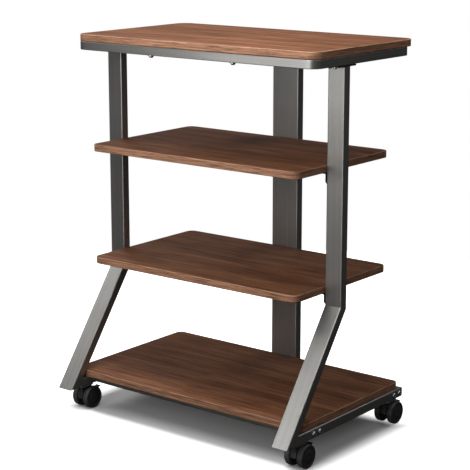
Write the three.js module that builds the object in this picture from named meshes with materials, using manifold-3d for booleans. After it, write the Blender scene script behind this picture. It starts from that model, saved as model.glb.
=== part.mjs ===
// Rolling rack for hi-fi equipment: a walnut-faced top on a steel ring, two shelves and a
// bottom board, carried by two bent-leg side frames of flat tube and a wide column at the back,
// on four swivel casters with twin wheels and brake levers.
// Millimetres, +Z up, front towards -Y, origin on the floor under the middle of the whole.

import * as THREE from 'three';
import { mergeVertices } from 'three/addons/utils/BufferGeometryUtils.js';
import Module from 'manifold-3d';

const wasm = await Module();
wasm.setup();

// Driving dimensions

const seat = 0.3; // paint film and play between two pieces that touch
const overrun = 5; // how far a cutting tool runs past the piece that it cuts
const weld = 1e-4; // points closer than this are one

const overallHeight = 834;
const topWidth = 630;
const topDepth = 360.5;
const topCorner = 25;
const boardThickness = 15;
const boardArris = 0.8;

const ringDepth = 346.5;
const ringHeight = 18;
const ringBar = 20;
const ringEdge = 2.4;
const ringScrewSpread = 216;
const ringScrewHole = 6.6;

const tubeWidth = 40;
const tubeDepth = 20;
const tubeWall = 1.5;
const tubeCorner = 2.4;
const uprightSetback = 100; // front face of the upright, behind the front edge of the top
const kneeHeight = 310;
const footReach = 81; // tip of the foot, in front of the front edge of the top
const railEndSetback = 341; // sawn rear end of the bottom rail, behind the front edge of the top

const plugFlange = 2;
const plugSpigot = 6;
const headPlateLength = 62;
const headPlateThickness = 3;

const columnWidth = 70;
const columnSetback = 334.5; // front face of the column, behind the front edge of the top
const columnFootDrop = 15;

const lowerShelfRise = 39; // top of the lower shelf, above the knee
const shelfTops = { upper: 598.5, lower: kneeHeight + lowerShelfRise };
const shelfPlay = 1; // at each side, between shelf and upright
const shelfForward = 2; // front edge of a shelf, in front of the front edge of the top
const shelfCorner = 17;

const bottomForward = 29;
const bottomInset = 4; // each side of the bottom board, inside the outer face of the rail
const bottomCorner = 14;

const crossFrontSetback = 0; // front face of the front cross rail, behind the front edge of the top
const crossEndWall = 3;

const bracketThickness = 2.5;
const bracketHeight = 25;
const bracketReach = 34;
const bracketWidth = 21;
const bracketChamfer = 7;
const columnBracketWidth = 56;

const boltDiameter = 6;
const boltPitch = 20;
const boltLength = 54;
const boltHeadDiameter = 11;
const boltHeadHeight = 3.4;
const boltSocket = 4;
const boltSocketDepth = 2;

const casterHeight = 57.5;
const casterTrail = 16; // axle behind the kingpin
const frontCasterForward = 26; // kingpin in front of the front edge of the top
const rearCasterSetback = 306;
const wheelDiameter = 50;
const wheelWidth = 15;
const wheelShoulder = 2.8;
const wheelRim = 3.4;
const wheelDish = 0.7;
const axleDiameter = 6;
const axleEngagement = 11; // depth of the blind bore in each wheel
const hoodWidth = 14;
const hoodDiameter = 48;
const hubDiameter = 17;
const hubStep = 0.5;
const bossDiameter = 13.6;
const collarDiameter = 18;
const collarHeight = 1.6;
const casterPlate = 38;
const casterPlateThickness = 2.5;
const casterPlateCorner = 5;
const casterPlateHole = 4.6;
const casterPlateHolePitch = 28;
const raceTopDiameter = 22;
const raceHeight = 2.2;
const kingpinDiameter = 8;
const kingpinLength = 27;
const leverPivotBack = 13; // pivot of the brake lever, behind the axle
const leverPivotRise = 14.5; // and above it
const leverBarrel = 8;
const leverWidth = 12.4;
const leverLength = 24;
const leverThickness = 2.6;
const leverDip = 4;

// Places worked out from them

const overallDepth = footReach + topDepth;
const frontEdge = footReach - overallDepth / 2; // y of the front edge of the top
const outerFace = topWidth / 2; // x of the outer faces of the side frames
const innerFace = outerFace - tubeWidth;

const railBottom = casterHeight;
const railTop = railBottom + tubeDepth;
const railRear = frontEdge + railEndSetback;
const footTip = frontEdge - footReach;
const uprightFront = frontEdge + uprightSetback;

const topUnderside = overallHeight - boardThickness;
const ringTop = topUnderside - seat;
const ringUnderside = ringTop - ringHeight;
const headPlateTop = ringUnderside - seat;
const uprightTop = headPlateTop - headPlateThickness - seat;

const columnFront = frontEdge + columnSetback;
const columnFootTop = railTop + seat + headPlateThickness;
const shelfFront = frontEdge - shelfForward;
const shelfRear = columnFront - seat;
const shelfWidth = 2 * (innerFace - shelfPlay);
const bottomFront = frontEdge - bottomForward;
const bottomWidth = topWidth - 2 * bottomInset;

const crossLength = 2 * (innerFace - seat);
const crossCentres = {
  front: frontEdge + crossFrontSetback + tubeWidth / 2,
  rear: railRear - tubeWidth / 2,
};

// Materials

function paint(colour, roughness, metalness) {
  return new THREE.MeshStandardMaterial({ color: colour, roughness, metalness });
}

const walnut = paint(0x6b4433, 0.55, 0);
const steel = paint(0x4a4a49, 0.42, 0.6);
const blackSteel = paint(0x1d1d1e, 0.5, 0.5);
const zinc = paint(0xc9cacb, 0.25, 1);
const nylon = paint(0x202021, 0.55, 0);
const tread = paint(0x3a3a3b, 0.75, 0);

// Helpers

const rack = new THREE.Group();

// One closed body out of any geometry, for cutting and joining
function solid(geometry) {
  geometry.deleteAttribute('normal');
  geometry.deleteAttribute('uv');
  const merged = mergeVertices(geometry, weld);
  const mesh = new wasm.Mesh({
    numProp: 3,
    vertProperties: Float32Array.from(merged.attributes.position.array),
    triVerts: Uint32Array.from(merged.index.array),
  });
  return new wasm.Manifold(mesh);
}

function geometryOf(body) {
  const mesh = body.getMesh();
  const geometry = new THREE.BufferGeometry();
  geometry.setAttribute('position', new THREE.BufferAttribute(mesh.vertProperties, 3));
  geometry.setIndex(new THREE.BufferAttribute(mesh.triVerts, 1));
  geometry.computeVertexNormals();
  return geometry;
}

function piece(name, geometry, material, parent = rack) {
  const mesh = new THREE.Mesh(geometry, material);
  mesh.name = name;
  parent.add(mesh);
  return mesh;
}

// Outline of a rectangle with rounded corners, centred on the origin
function roundedRectangle(width, height, corner, Outline = THREE.Shape) {
  const x = width / 2;
  const y = height / 2;
  const outline = new Outline();
  outline.moveTo(-x + corner, -y);
  outline.lineTo(x - corner, -y);
  outline.absarc(x - corner, -y + corner, corner, -Math.PI / 2, 0);
  outline.lineTo(x, y - corner);
  outline.absarc(x - corner, y - corner, corner, 0, Math.PI / 2);
  outline.lineTo(-x + corner, y);
  outline.absarc(-x + corner, y - corner, corner, Math.PI / 2, Math.PI);
  outline.lineTo(-x, -y + corner);
  outline.absarc(-x + corner, -y + corner, corner, Math.PI, Math.PI * 1.5);
  return outline;
}

// Section of a rectangular tube: rounded outside, sharper inside by the wall
function tubeSection(width, depth) {
  const section = roundedRectangle(width, depth, tubeCorner);
  const bore = roundedRectangle(width - 2 * tubeWall, depth - 2 * tubeWall, tubeCorner - tubeWall, THREE.Path);
  section.holes.push(bore);
  return section;
}

function extrude(shape, depth, curveSegments = 3) {
  return new THREE.ExtrudeGeometry(shape, { depth, curveSegments, bevelEnabled: false });
}

// A slab with its top and bottom edges eased, its underside on z = 0
function easedSlab(shape, thickness, ease, curveSegments, bevelSegments) {
  const geometry = new THREE.ExtrudeGeometry(shape, {
    depth: thickness - 2 * ease,
    curveSegments,
    bevelThickness: ease,
    bevelSize: ease,
    bevelOffset: -ease,
    bevelSegments,
  });
  return geometry.translate(0, 0, ease);
}

// A round rod along z from z = 0
function rod(diameter, length, sides = 12) {
  const geometry = new THREE.CylinderGeometry(diameter / 2, diameter / 2, length, sides);
  return geometry.rotateX(Math.PI / 2).translate(0, 0, length / 2);
}

function circle(diameter, Outline = THREE.Path) {
  const outline = new Outline();
  outline.absarc(0, 0, diameter / 2, 0, Math.PI * 2);
  return outline;
}

// Top board and the steel ring under it

function board(width, depth, corner) {
  return easedSlab(roundedRectangle(width, depth, corner), boardThickness, boardArris, 5, 1);
}

const topBoard = piece('top_board', board(topWidth, topDepth, topCorner), walnut);
topBoard.position.set(0, frontEdge + topDepth / 2, topUnderside);

// The ring is one hollow bar bent round the corners, pierced where screws go up into the top
function ringOutline(inset) {
  const width = topWidth - 2 * inset;
  const depth = ringDepth - 2 * inset;
  const outline = roundedRectangle(width, depth, topCorner - inset);
  const inner = 2 * (ringBar - 2 * inset);
  const innerCorner = topCorner - ringBar + inset;
  outline.holes.push(roundedRectangle(width - inner, depth - inner, innerCorner, THREE.Path));
  return outline;
}

function ringBody() {
  const hollowHeight = ringHeight - 2 * tubeWall;
  let body = solid(easedSlab(ringOutline(0), ringHeight, ringEdge, 4, 2));
  body = body.subtract(solid(extrude(ringOutline(tubeWall), hollowHeight).translate(0, 0, tubeWall)));
  for (const x of [-ringScrewSpread / 2, ringScrewSpread / 2]) {
    for (const y of [-1, 1]) {
      const drill = rod(ringScrewHole, ringHeight + 2 * overrun, 10);
      drill.translate(x, y * (ringDepth - ringBar) / 2, -overrun);
      body = body.subtract(solid(drill));
    }
  }
  return body;
}

const ring = piece('top_ring', geometryOf(ringBody()), steel);
ring.position.set(0, frontEdge + ringDepth / 2, ringUnderside);

// Side frames

// Flat tube with both ends mitred: x across, y inwards from its outer face, z along it.
// A slope tells how far an end runs on along z for each millimetre inwards.
function mitredTube(length, startSlope, endSlope) {
  const geometry = extrude(tubeSection(tubeWidth, tubeDepth), length).translate(0, tubeDepth / 2, 0);
  const points = geometry.attributes.position;
  for (let i = 0; i < points.count; i += 1) {
    const slope = points.getZ(i) > length / 2 ? endSlope : startSlope;
    points.setZ(i, points.getZ(i) + slope * points.getY(i));
  }
  return geometry;
}

const legRun = uprightFront - footTip;
const legRise = kneeHeight - railBottom;
const legLean = Math.atan2(legRun, legRise); // from upright
const legLength = Math.hypot(legRun, legRise);
const kneeSlope = Math.tan(legLean / 2);
const footAngle = Math.PI / 2 - legLean; // between leg and rail
const footSlope = 1 / Math.tan(footAngle / 2);
const kneeGap = seat / 2 / Math.cos(legLean / 2); // half of the weld gap, along the tube
const footGap = seat / 2 / Math.sin(footAngle / 2);

function boltPlaces() {
  const places = [];
  for (const centre of Object.values(crossCentres)) {
    places.push(centre - boltPitch / 2, centre + boltPitch / 2);
  }
  return places;
}

function uprightGeometry() {
  return mitredTube(uprightTop - kneeHeight - kneeGap, -kneeSlope, 0);
}

function legGeometry() {
  return mitredTube(legLength - footGap - kneeGap, footSlope, -kneeSlope);
}

// The rail runs from its sawn rear end forward to the foot, drilled across for the bolts
function railGeometry() {
  let body = solid(mitredTube(railRear - footTip - footGap, 0, -footSlope));
  for (const y of boltPlaces()) {
    const drill = rod(boltDiameter + 2 * seat, tubeWidth + 2 * overrun, 8).rotateY(Math.PI / 2);
    drill.translate(-tubeWidth / 2 - overrun, tubeDepth / 2, railRear - y);
    body = body.subtract(solid(drill));
  }
  return geometryOf(body);
}

// Plastic plug: a flange over the end of the rail and a spigot inside it
function plugGeometry() {
  const flange = extrude(roundedRectangle(tubeWidth, tubeDepth, tubeCorner), plugFlange);
  const bore = 2 * (tubeWall + seat);
  const spigotShape = roundedRectangle(tubeWidth - bore, tubeDepth - bore, tubeCorner - tubeWall);
  const spigot = extrude(spigotShape, plugSpigot + plugFlange).translate(0, 0, -plugSpigot);
  return geometryOf(solid(flange).add(solid(spigot)));
}

function headPlateGeometry() {
  const plate = roundedRectangle(tubeWidth, headPlateLength, tubeCorner);
  return extrude(plate, headPlateThickness);
}

function sideFrame(side, sign) {
  const middle = sign * (innerFace + tubeWidth / 2);

  const upright = piece(`upright_${side}`, uprightGeometry(), steel);
  upright.position.set(middle, uprightFront, kneeHeight + kneeGap);

  const leg = piece(`leg_${side}`, legGeometry(), steel);
  const start = footGap / legLength;
  leg.position.set(middle, footTip + legRun * start, railBottom + legRise * start);
  leg.rotation.x = -legLean;

  const rail = piece(`rail_${side}`, railGeometry(), steel);
  rail.position.set(middle, railRear, railBottom);
  rail.rotation.x = Math.PI / 2;

  const plug = piece(`rail_plug_${side}`, plugGeometry(), nylon);
  plug.position.set(middle, railRear + seat, railBottom + tubeDepth / 2);
  plug.rotation.x = -Math.PI / 2;

  const plate = piece(`upright_plate_${side}`, headPlateGeometry(), blackSteel);
  plate.position.set(middle, uprightFront + tubeDepth / 2, headPlateTop - headPlateThickness);
}

sideFrame('left', -1);
sideFrame('right', 1);

// Cross rails under the bottom board

// A tube closed by end walls that are tapped for the bolts
function crossRailGeometry() {
  const cavityLength = crossLength - 2 * crossEndWall;
  const outside = extrude(roundedRectangle(tubeWidth, tubeDepth, tubeCorner), crossLength);
  const wall = 2 * tubeWall;
  const inside = extrude(roundedRectangle(tubeWidth - wall, tubeDepth - wall, tubeCorner - tubeWall), cavityLength);
  let body = solid(outside).subtract(solid(inside.translate(0, 0, crossEndWall)));
  for (const x of [-boltPitch / 2, boltPitch / 2]) {
    const drill = rod(boltDiameter + 2 * seat, crossLength + 2 * overrun, 8).translate(x, 0, -overrun);
    body = body.subtract(solid(drill));
  }
  return geometryOf(body).translate(0, 0, -crossLength / 2).rotateZ(Math.PI / 2).rotateY(Math.PI / 2);
}

for (const [end, y] of Object.entries(crossCentres)) {
  const cross = piece(`cross_rail_${end}`, crossRailGeometry(), steel);
  cross.position.set(0, y, railBottom + tubeDepth / 2);
}

// Cap screws that hold the cross rails

// Button head with a hexagon socket, shank along +z from the seat of the head
function boltGeometry() {
  const r = boltDiameter / 2;
  const head = boltHeadDiameter / 2;
  const crown = head - boltHeadHeight / 2;
  const profile = [
    new THREE.Vector2(0, boltLength),
    new THREE.Vector2(r, boltLength),
    new THREE.Vector2(r, 0),
    new THREE.Vector2(head, 0),
    new THREE.Vector2(head, -boltHeadHeight / 3),
    new THREE.Vector2(crown, -boltHeadHeight),
    new THREE.Vector2(0, -boltHeadHeight),
  ];
  profile.reverse();
  const body = solid(new THREE.LatheGeometry(profile, 12).rotateX(Math.PI / 2));
  const key = rod(boltSocket / Math.cos(Math.PI / 6), boltSocketDepth + overrun, 6);
  return geometryOf(body.subtract(solid(key.translate(0, 0, -boltHeadHeight - overrun))));
}

function railBolts(side, sign) {
  boltPlaces().forEach((y, index) => {
    const bolt = piece(`rail_bolt_${side}_${index + 1}`, boltGeometry(), zinc);
    bolt.position.set(sign * (outerFace + seat), y, railBottom + tubeDepth / 2);
    bolt.rotation.y = -sign * Math.PI / 2;
  });
}

railBolts('left', -1);
railBolts('right', 1);

// Column at the back

const columnGeometry = extrude(tubeSection(columnWidth, tubeDepth), uprightTop - columnFootTop - seat);
const column = piece('column', columnGeometry, steel);
column.position.set(0, columnFront + tubeDepth / 2, columnFootTop + seat);

// Head plate, screwed up into the rear bar of the ring
const ringRearBarFront = frontEdge + ringDepth - ringBar;
const columnHeadDepth = columnFront + tubeDepth - ringRearBarFront;
const columnHeadShape = roundedRectangle(columnWidth, columnHeadDepth, tubeCorner);
const columnHead = piece('column_head', extrude(columnHeadShape, headPlateThickness), blackSteel);
columnHead.position.set(0, ringRearBarFront + columnHeadDepth / 2, headPlateTop - headPlateThickness);

// Foot plate under the column: it lies on the rear cross rail and turns down behind it
function columnFootGeometry() {
  const hook = railRear - columnFront + seat;
  const drop = columnFootDrop + headPlateThickness;
  const outline = new THREE.Shape();
  outline.moveTo(0, 0);
  outline.lineTo(tubeDepth, 0);
  outline.lineTo(tubeDepth, -headPlateThickness);
  outline.lineTo(hook + headPlateThickness, -headPlateThickness);
  outline.lineTo(hook + headPlateThickness, -drop);
  outline.lineTo(hook, -drop);
  outline.lineTo(hook, -headPlateThickness);
  outline.lineTo(0, -headPlateThickness);
  return extrude(outline, columnWidth).translate(0, 0, -columnWidth / 2).rotateY(Math.PI / 2).rotateX(Math.PI / 2);
}

const columnFoot = piece('column_foot', columnFootGeometry(), blackSteel);
columnFoot.position.set(0, columnFront, columnFootTop);

// Shelves, bottom board and their brackets

for (const [level, height] of Object.entries(shelfTops)) {
  const depth = shelfRear - shelfFront;
  const shelf = piece(`shelf_${level}`, board(shelfWidth, depth, shelfCorner), walnut);
  shelf.position.set(0, shelfFront + depth / 2, height - boardThickness);
}

const bottomDepth = shelfRear - bottomFront;
const bottomBoard = piece('bottom_board', board(bottomWidth, bottomDepth, bottomCorner), walnut);
bottomBoard.position.set(0, bottomFront + bottomDepth / 2, railTop + seat);

// Angle bracket: upright leaf in the plane x = 0 with clipped lower corners, top leaf along +x.
// Its bend is at the origin, its width lies along y.
function bracketGeometry(width) {
  const half = width / 2;
  const outline = new THREE.Shape();
  outline.moveTo(-half, 0);
  outline.lineTo(-half, -bracketHeight + bracketChamfer);
  outline.lineTo(-half + bracketChamfer, -bracketHeight);
  outline.lineTo(half - bracketChamfer, -bracketHeight);
  outline.lineTo(half, -bracketHeight + bracketChamfer);
  outline.lineTo(half, 0);
  const block = extrude(outline, bracketReach).rotateX(Math.PI / 2).rotateZ(Math.PI / 2);
  const cut = new THREE.BoxGeometry(bracketReach, width + 2 * overrun, bracketHeight);
  cut.translate(bracketThickness + bracketReach / 2, 0, -bracketThickness - bracketHeight / 2);
  return geometryOf(solid(block).subtract(solid(cut)));
}

for (const [level, height] of Object.entries(shelfTops)) {
  const z = height - boardThickness - seat;
  for (const [side, sign] of [['left', -1], ['right', 1]]) {
    const bracket = piece(`bracket_${level}_${side}`, bracketGeometry(bracketWidth), blackSteel);
    bracket.position.set(sign * (innerFace - seat), uprightFront + tubeDepth / 2, z);
    bracket.rotation.z = sign > 0 ? Math.PI : 0;
  }
  const rear = piece(`bracket_${level}_rear`, bracketGeometry(columnBracketWidth), blackSteel);
  rear.position.set(0, columnFront - seat, z);
  rear.rotation.z = -Math.PI / 2;
}

// Casters
// Each caster's group stands on the floor under its kingpin, axle behind it.

const wheelRadius = wheelDiameter / 2;
const wheelInside = hoodWidth / 2 + hubStep + seat;
const plateTop = casterHeight - seat;
const plateUnderside = plateTop - casterPlateThickness;
const raceUnderside = plateUnderside - raceHeight;
const collarTop = raceUnderside - seat;
const leverPivot = { y: casterTrail + leverPivotBack, z: wheelRadius + leverPivotRise };

// Mounting plate with the ball race and the kingpin under it
function casterPlateGeometry() {
  const plate = roundedRectangle(casterPlate, casterPlate, casterPlateCorner);
  for (const x of [-1, 1]) {
    for (const y of [-1, 1]) {
      const hole = new THREE.Path();
      const offset = casterPlateHolePitch / 2;
      hole.absarc(x * offset, y * offset, casterPlateHole / 2, 0, Math.PI * 2);
      plate.holes.push(hole);
    }
  }
  const profile = [
    new THREE.Vector2(0, plateUnderside - kingpinLength),
    new THREE.Vector2(kingpinDiameter / 2, plateUnderside - kingpinLength),
    new THREE.Vector2(kingpinDiameter / 2, raceUnderside),
    new THREE.Vector2(collarDiameter / 2, raceUnderside),
    new THREE.Vector2(raceTopDiameter / 2, plateUnderside),
    new THREE.Vector2(raceTopDiameter / 2, plateTop - casterPlateThickness / 2),
    new THREE.Vector2(0, plateTop - casterPlateThickness / 2),
  ];
  const pin = new THREE.LatheGeometry(profile, 12).rotateX(Math.PI / 2);
  const slab = extrude(plate, casterPlateThickness, 3).translate(0, 0, plateUnderside);
  return geometryOf(solid(slab).add(solid(pin)));
}

// Hood between the wheels: a sector of a disc from low in front over the top to the brake
// lever, with the hub of the axle, the boss and collar of the kingpin, and the bores.
const hoodFrontShare = 3 / 180; // of a half turn, below the axle in front
const hoodRearShare = 48 / 180; // of a half turn, above the axle behind

function hoodGeometry() {
  const low = Math.PI * (1 + hoodFrontShare);
  const rear = Math.PI * hoodRearShare;
  const outline = new THREE.Shape();
  outline.absarc(0, 0, hoodDiameter / 2, low, rear, true);
  outline.absarc(0, 0, hubDiameter / 2, 0, low - 2 * Math.PI, true);
  let body = solid(across(extrude(outline, hoodWidth, 8), hoodWidth));

  const hubWidth = hoodWidth + 2 * hubStep;
  body = body.add(solid(across(rod(hubDiameter, hubWidth), hubWidth)));

  const bossBottom = wheelRadius;
  body = body.add(solid(rod(bossDiameter, collarTop - bossBottom).translate(0, 0, bossBottom)));
  body = body.add(solid(rod(collarDiameter, collarHeight).translate(0, 0, collarTop - collarHeight)));

  const pinBore = kingpinDiameter + 2 * seat;
  const pinBottom = plateUnderside - kingpinLength - seat;
  body = body.subtract(solid(rod(pinBore, collarTop).translate(0, 0, pinBottom)));
  const axleBore = axleDiameter + 2 * seat;
  const boreLength = hubWidth + 2 * overrun;
  body = body.subtract(solid(across(rod(axleBore, boreLength), boreLength)));
  const leverSeat = rod(leverBarrel + 2 * seat, boreLength).rotateY(Math.PI / 2);
  leverSeat.translate(-boreLength / 2, leverPivot.y, leverPivot.z);
  return geometryOf(body.subtract(solid(leverSeat)));
}

// Turns an extrusion of an outline drawn in (y, z) so that it lies across x at the axle
function across(geometry, width) {
  geometry.rotateX(Math.PI / 2).rotateZ(Math.PI / 2);
  return geometry.translate(-width / 2, casterTrail, wheelRadius);
}

// Wheel: rounded shoulders, a rim round a slightly dished outer face, a blind bore inside
function wheelGeometry(sign) {
  const outside = wheelInside + wheelWidth;
  const bore = axleDiameter / 2 + seat;
  const rim = wheelRadius - wheelShoulder - wheelRim;
  const nub = wheelShoulder * (1 - Math.SQRT1_2);
  const profile = [
    new THREE.Vector2(0, wheelInside + axleEngagement),
    new THREE.Vector2(bore, wheelInside + axleEngagement),
    new THREE.Vector2(bore, wheelInside),
    new THREE.Vector2(wheelRadius - wheelShoulder, wheelInside),
    new THREE.Vector2(wheelRadius, wheelInside + wheelShoulder),
    new THREE.Vector2(wheelRadius, outside - wheelShoulder),
    new THREE.Vector2(wheelRadius - nub, outside - nub),
    new THREE.Vector2(wheelRadius - wheelShoulder, outside),
    new THREE.Vector2(rim, outside),
    new THREE.Vector2(rim - wheelDish, outside - wheelDish),
    new THREE.Vector2(0, outside - wheelDish),
  ];
  const wheel = new THREE.LatheGeometry(profile, 22).rotateZ(-sign * Math.PI / 2);
  return wheel;
}

function axleGeometry() {
  const length = 2 * (wheelInside + axleEngagement - seat);
  return across(rod(axleDiameter, length), length);
}

// Brake lever: a barrel in its seat behind the hood and a tongue that dips and rises
function leverGeometry() {
  const r = leverBarrel / 2;
  const top = Math.PI / 6;
  const under = -Math.PI / 3;
  const outline = new THREE.Shape();
  outline.moveTo(r * Math.cos(top), r * Math.sin(top));
  outline.quadraticCurveTo(leverLength / 2, -leverDip, leverLength, leverThickness / 2);
  outline.lineTo(leverLength, -leverThickness / 2);
  outline.quadraticCurveTo(leverLength / 2, -leverDip - leverThickness, r * Math.cos(under), r * Math.sin(under));
  outline.absarc(0, 0, r, under, top - 2 * Math.PI, true);
  const geometry = extrude(outline, leverWidth, 5).rotateX(Math.PI / 2).rotateZ(Math.PI / 2);
  return geometry.translate(-leverWidth / 2, 0, 0);
}

function caster(name, x, y) {
  const group = new THREE.Group();
  group.position.set(x, y, 0);
  rack.add(group);

  piece(`${name}_plate`, casterPlateGeometry(), zinc, group);
  piece(`${name}_hood`, hoodGeometry(), nylon, group);
  piece(`${name}_axle`, axleGeometry(), zinc, group);
  for (const [side, sign] of [['left', -1], ['right', 1]]) {
    const wheel = piece(`${name}_wheel_${side}`, wheelGeometry(sign), tread, group);
    wheel.position.set(0, casterTrail, wheelRadius);
  }
  const lever = piece(`${name}_lever`, leverGeometry(), nylon, group);
  lever.position.set(0, leverPivot.y, leverPivot.z);
}

const casterX = innerFace + tubeWidth / 2;
caster('caster_fl', -casterX, frontEdge - frontCasterForward);
caster('caster_fr', casterX, frontEdge - frontCasterForward);
caster('caster_rl', -casterX, frontEdge + rearCasterSetback);
caster('caster_rr', casterX, frontEdge + rearCasterSetback);

export default rack;
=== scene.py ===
# Rolling rack for hi-fi equipment, dressed for the studio: walnut-faced boards on satin grey
# steel side frames, a wide column at the back, and four twin-wheel casters with brakes.
import math

import bpy
import numpy as np
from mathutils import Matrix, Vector


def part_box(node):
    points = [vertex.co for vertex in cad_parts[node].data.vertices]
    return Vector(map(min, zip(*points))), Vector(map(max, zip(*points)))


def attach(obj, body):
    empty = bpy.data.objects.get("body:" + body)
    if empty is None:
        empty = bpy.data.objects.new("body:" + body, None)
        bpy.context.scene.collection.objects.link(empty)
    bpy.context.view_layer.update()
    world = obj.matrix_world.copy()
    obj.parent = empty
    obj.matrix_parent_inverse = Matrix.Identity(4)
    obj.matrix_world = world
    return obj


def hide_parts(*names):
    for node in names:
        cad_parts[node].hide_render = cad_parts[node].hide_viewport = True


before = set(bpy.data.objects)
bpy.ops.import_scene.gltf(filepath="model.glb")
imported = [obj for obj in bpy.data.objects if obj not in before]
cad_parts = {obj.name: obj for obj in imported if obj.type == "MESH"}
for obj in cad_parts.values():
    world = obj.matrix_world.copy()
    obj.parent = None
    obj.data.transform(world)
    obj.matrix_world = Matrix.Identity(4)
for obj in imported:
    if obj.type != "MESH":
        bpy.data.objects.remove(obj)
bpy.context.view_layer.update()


# The camera stands front right of the rack and a little above its top board, with a long lens,
# so that the uprights look parallel.
CAMERA_PLACE = Vector((1.9449, -2.4596, 1.1284))
CAMERA_TARGET = Vector((-0.0442, 0.0702, 0.3911))
SENSOR_MM = 36
LENS_MM = 114.35
CLIP_END = 50

lens = bpy.data.cameras.new("camera")
lens.sensor_width = SENSOR_MM
lens.lens = LENS_MM
lens.clip_end = CLIP_END
camera = bpy.data.objects.new("camera", lens)
bpy.context.scene.collection.objects.link(camera)
camera.location = CAMERA_PLACE
camera.rotation_euler = (CAMERA_TARGET - CAMERA_PLACE).to_track_quat("-Z", "Y").to_euler()
bpy.context.scene.camera = camera


# The studio: a white surround that only the camera sees, and soft panels. The distant ones stand
# in front, at both sides and behind; the near ones light the boards' front edges and tops.
PANEL_REACH = 5.0
RACK_MIDDLE = 0.45
SKY_GLOW = 0.02


def softbox(name, place, target, size, power):
    """A rectangular diffusing panel that faces its target; size is (width, height) in metres and
    power is in watts."""
    panel = bpy.data.lights.new(name, "AREA")
    panel.shape = "RECTANGLE"
    panel.size, panel.size_y = size
    panel.energy = power
    lamp = bpy.data.objects.new(name, panel)
    bpy.context.scene.collection.objects.link(lamp)
    lamp.location = place
    lamp.rotation_euler = (Vector(target) - Vector(place)).to_track_quat("-Z", "Y").to_euler()


def distant_panel(name, turn, rise, power, width=2.0):
    """A square panel on a sphere round the rack's middle: turn degrees from straight in front
    towards the right, rise degrees above level."""
    turn, rise = math.radians(turn), math.radians(rise)
    level = PANEL_REACH * math.cos(rise)
    place = (
        level * math.sin(turn),
        -level * math.cos(turn),
        RACK_MIDDLE + PANEL_REACH * math.sin(rise),
    )
    softbox(name, place, (0, 0, RACK_MIDDLE), (width, width), power)


distant_panel("front_panel", 5, 5, 70, 3.2)
distant_panel("left_panel", -75, 34, 46)
distant_panel("rear_left_panel", -110, 35, 42)
distant_panel("left_front_panel", -45, 35, 4.7)
distant_panel("right_panel", 97, 38, 23)
distant_panel("low_right_rear_panel", 142, 0, 0.4)
distant_panel("right_rear_panel", 165, 52, 42)
distant_panel("rear_panel", -142, 14, 2)
distant_panel("high_rear_panel", 150, 65, 8.2)
softbox("overhead_panel", (-0.2, -0.15, 2.6), (0, 0, 0), (0.7, 0.7), 38)
softbox("near_top_panel", (0.2, -0.7, 1.3), (0.25, -0.1, 0.8), (0.7, 0.7), 6)
softbox("near_front_panel", (-0.35, -1.15, 0.78), (0.26, 0, 0.58), (0.6, 0.4), 1.9)
softbox("low_front_panel", (-0.42, -1.15, 0.3), (0.31, -0.1, 0.55), (0.25, 0.25), 0.16)


def node(tree, kind, **settings):
    """A shader node whose properties are given by name."""
    made = tree.nodes.new(kind)
    for key, value in settings.items():
        setattr(made, key, value)
    return made


surround = bpy.data.worlds.new("surround")
surround.use_nodes = True
tree = surround.node_tree
dim_sky = tree.nodes["Background"]
bright_sky = node(tree, "ShaderNodeBackground")
for sky, strength in ((dim_sky, SKY_GLOW), (bright_sky, 1.0)):
    sky.inputs["Color"].default_value = (1, 1, 1, 1)
    sky.inputs["Strength"].default_value = strength
rays = node(tree, "ShaderNodeLightPath")
choice = node(tree, "ShaderNodeMixShader")
tree.links.new(rays.outputs["Is Camera Ray"], choice.inputs["Fac"])
tree.links.new(dim_sky.outputs["Background"], choice.inputs[1])
tree.links.new(bright_sky.outputs["Background"], choice.inputs[2])
tree.links.new(choice.outputs["Shader"], tree.nodes["World Output"].inputs["Surface"])
bpy.context.scene.world = surround
bpy.context.scene.view_settings.view_transform = "Standard"


# The floor is a disc of matt white with a painted glow: it glows everywhere except in a rectangle
# under the rack, where only the lamps reach it, so the rack's shadow shows there and is hidden
# elsewhere.
FLOOR_RADIUS = 1.6
FLOOR_SIDES = 96
DIM_HALF_WIDTH = 0.31
DIM_HALF_DEPTH = 0.155
DIM_MARGIN = 0.055
LEAST_PAINTED_GLOW = 0.02


def new_material(name):
    """A fresh material, its node tree and its main shader."""
    material = bpy.data.materials.new(name)
    material.use_nodes = True
    return material, material.node_tree, material.node_tree.nodes["Principled BSDF"]


def arithmetic(tree, operation, first, second=0.0):
    """One arithmetic node; each side is a socket or a decimal number."""
    made = node(tree, "ShaderNodeMath", operation=operation)
    for entry, value in zip(made.inputs, (first, second)):
        if isinstance(value, float):
            entry.default_value = value
        else:
            tree.links.new(value, entry)
    return made.outputs["Value"]


floor_white, tree, shader = new_material("floor_painted_glow")
shader.inputs["Base Color"].default_value = (0.92, 0.92, 0.92, 1)
shader.inputs["Roughness"].default_value = 1.0
shader.inputs["Specular IOR Level"].default_value = 0.0
shader.inputs["Emission Color"].default_value = (1, 1, 1, 1)

# The painted glow rises smoothly over the margin outside a rectangle a little smaller than the rack.
place = node(tree, "ShaderNodeTexCoord")
axes = node(tree, "ShaderNodeSeparateXYZ")
tree.links.new(place.outputs["Object"], axes.inputs["Vector"])
sideways = arithmetic(tree, "ABSOLUTE", axes.outputs["X"])
lengthways = arithmetic(tree, "ABSOLUTE", axes.outputs["Y"])
beyond_side = arithmetic(tree, "SUBTRACT", sideways, DIM_HALF_WIDTH)
beyond_end = arithmetic(tree, "SUBTRACT", lengthways, DIM_HALF_DEPTH)
painted_glow = node(tree, "ShaderNodeMapRange", interpolation_type="SMOOTHSTEP")
painted_glow.inputs["From Max"].default_value = DIM_MARGIN
painted_glow.inputs["To Min"].default_value = LEAST_PAINTED_GLOW
tree.links.new(arithmetic(tree, "MAXIMUM", beyond_side, beyond_end), painted_glow.inputs["Value"])
tree.links.new(painted_glow.outputs["Result"], shader.inputs["Emission Strength"])

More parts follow.
